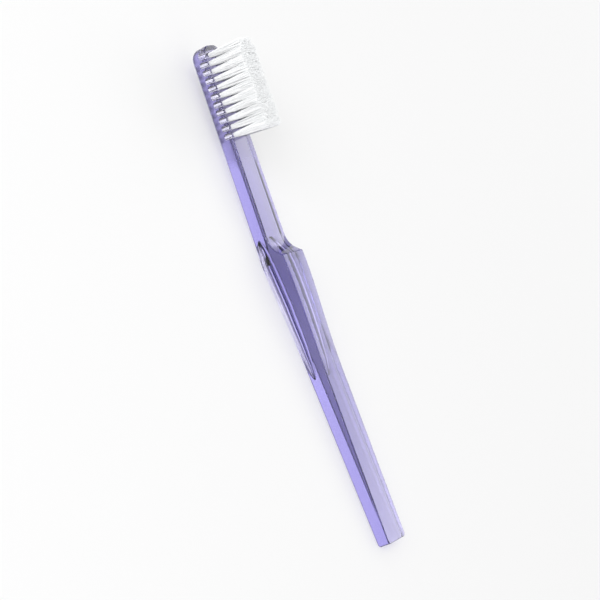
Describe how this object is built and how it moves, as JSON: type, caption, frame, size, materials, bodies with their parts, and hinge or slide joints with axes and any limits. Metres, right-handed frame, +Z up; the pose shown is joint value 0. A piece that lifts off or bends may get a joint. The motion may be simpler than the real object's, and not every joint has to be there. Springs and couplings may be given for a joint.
{
  "type": "manual toothbrush",
  "caption": "Straight manual toothbrush with a one-piece clear violet plastic handle, a raised collar, a thumb scoop and white nylon tufts held by metal anchors.",
  "frame": {"origin": "on the plane of the handle's flat back, under the middle of the brush's length and width", "axes": "+X from the head to the tail of the handle, +Y across, +Z up, the way the bristles point"},
  "size_m": [0.168, 0.0136, 0.0221],
  "materials": {
    "handle": "clear polished violet plastic",
    "bristles": "white nylon filaments",
    "anchors": "nickel silver, rolled"
  },
  "bodies": {
    "root": {"anchors_row_01": "anchors", "anchors_row_02": "anchors", "anchors_row_03": "anchors", "anchors_row_04": "anchors", "anchors_row_05": "anchors", "anchors_row_06": "anchors", "anchors_row_07": "anchors", "anchors_row_08": "anchors", "anchors_row_09": "anchors", "anchors_row_10": "anchors", "anchors_row_11": "anchors", "handle": "handle", "tuft_01_a": "bristles", "tuft_01_b": "bristles", "tuft_01_c": "bristles", "tuft_02_a": "bristles", "tuft_02_b": "bristles", "tuft_02_c": "bristles", "tuft_02_d": "bristles", "tuft_03_a": "bristles", "tuft_03_b": "bristles", "tuft_03_c": "bristles", "tuft_03_d": "bristles", "tuft_04_a": "bristles", "tuft_04_b": "bristles", "tuft_04_c": "bristles", "tuft_04_d": "bristles", "tuft_05_a": "bristles", "tuft_05_b": "bristles", "tuft_05_c": "bristles", "tuft_05_d": "bristles", "tuft_06_a": "bristles", "tuft_06_b": "bristles", "tuft_06_c": "bristles", "tuft_06_d": "bristles", "tuft_07_a": "bristles", "tuft_07_b": "bristles", "tuft_07_c": "bristles", "tuft_07_d": "bristles", "tuft_08_a": "bristles", "tuft_08_b": "bristles", "tuft_08_c": "bristles", "tuft_08_d": "bristles", "tuft_09_a": "bristles", "tuft_09_b": "bristles", "tuft_09_c": "bristles", "tuft_09_d": "bristles", "tuft_10_a": "bristles", "tuft_10_b": "bristles", "tuft_10_c": "bristles", "tuft_10_d": "bristles", "tuft_11_a": "bristles", "tuft_11_b": "bristles", "tuft_11_c": "bristles", "tuft_11_d": "bristles"}
  },
  "joints": []
}
